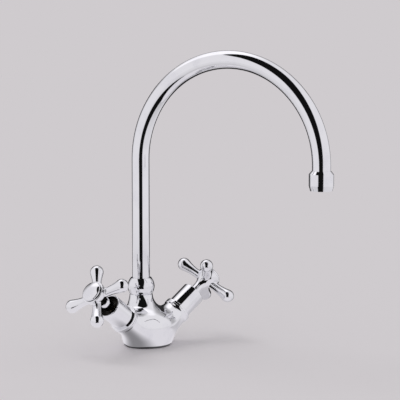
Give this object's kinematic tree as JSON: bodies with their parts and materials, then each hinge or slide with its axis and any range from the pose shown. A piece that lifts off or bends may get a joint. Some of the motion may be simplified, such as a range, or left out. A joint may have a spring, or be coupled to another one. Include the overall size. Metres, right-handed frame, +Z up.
{
  "type": "kitchen mixer tap",
  "caption": "Deck-mounted kitchen mixer tap: cup-shaped body with slanted cross-handle valves and a swivelling swan-neck spout.",
  "frame": {"origin": "centre of the body's flat underside, on the sink or worktop", "axes": "+Z up along the spout's rise, front is -Y, +X to the right seen from the front"},
  "size_m": [0.1904, 0.2245, 0.3009],
  "materials": {
    "chromed_body": "polished",
    "seal_rubber": "matt",
    "chromed_trim": "polished",
    "slip_plastic": "matt",
    "chromed_tube": "polished",
    "turned_brass": "machined",
    "insert_plastic": "matt",
    "mesh_steel": "turned",
    "valve_ceramic": "lapped",
    "spring_steel": "turned",
    "chromed_handle": "polished",
    "screw_steel": "turned"
  },
  "bodies": {
    "tap_body": {"body": "chromed_body", "base_seal": "seal_rubber", "spout_nut": "chromed_trim", "slip_washer_lower": "slip_plastic", "slip_washer_upper": "slip_plastic", "left_valve_collar": "chromed_trim", "left_valve_sleeve": "chromed_trim", "left_bonnet": "turned_brass", "left_bonnet_ring": "seal_rubber", "left_seat_seal": "seal_rubber", "left_fixed_disc": "valve_ceramic", "right_valve_collar": "chromed_trim", "right_valve_sleeve": "chromed_trim", "right_bonnet": "turned_brass", "right_bonnet_ring": "seal_rubber", "right_seat_seal": "seal_rubber", "right_fixed_disc": "valve_ceramic"},
    "spout": {"spout_tube": "chromed_tube", "spout_spigot": "turned_brass", "spout_ring_lower": "seal_rubber", "spout_ring_upper": "seal_rubber", "aerator_housing": "chromed_trim", "aerator_insert": "insert_plastic", "aerator_mesh": "mesh_steel", "aerator_washer": "seal_rubber"},
    "left_valve_handle": {"left_moving_disc": "valve_ceramic", "left_spindle": "turned_brass", "left_spindle_ring": "seal_rubber", "left_spindle_clip": "spring_steel", "left_handle": "chromed_handle", "left_handle_screw": "screw_steel", "left_handle_cap": "chromed_trim"},
    "right_valve_handle": {"right_moving_disc": "valve_ceramic", "right_spindle": "turned_brass", "right_spindle_ring": "seal_rubber", "right_spindle_clip": "spring_steel", "right_handle": "chromed_handle", "right_handle_screw": "screw_steel", "right_handle_cap": "chromed_trim"}
  },
  "joints": [
    {"name": "spout_swivel", "type": "hinge", "parent": "tap_body", "child": "spout", "pos_m": [0, 0.0096, 0.06], "axis": [0, 0, 1], "continuous": true},
    {"name": "left_handle_turn", "type": "hinge", "parent": "tap_body", "child": "left_valve_handle", "pos_m": [0, -0.0015, 0.0053], "axis": [-0.8018, -0.0814, 0.592], "range_deg": [0, 90]},
    {"name": "right_handle_turn", "type": "hinge", "parent": "tap_body", "child": "right_valve_handle", "pos_m": [0, -0.0015, 0.0053], "axis": [0.8018, -0.0814, 0.592], "range_deg": [-90, 0]}
  ]
}
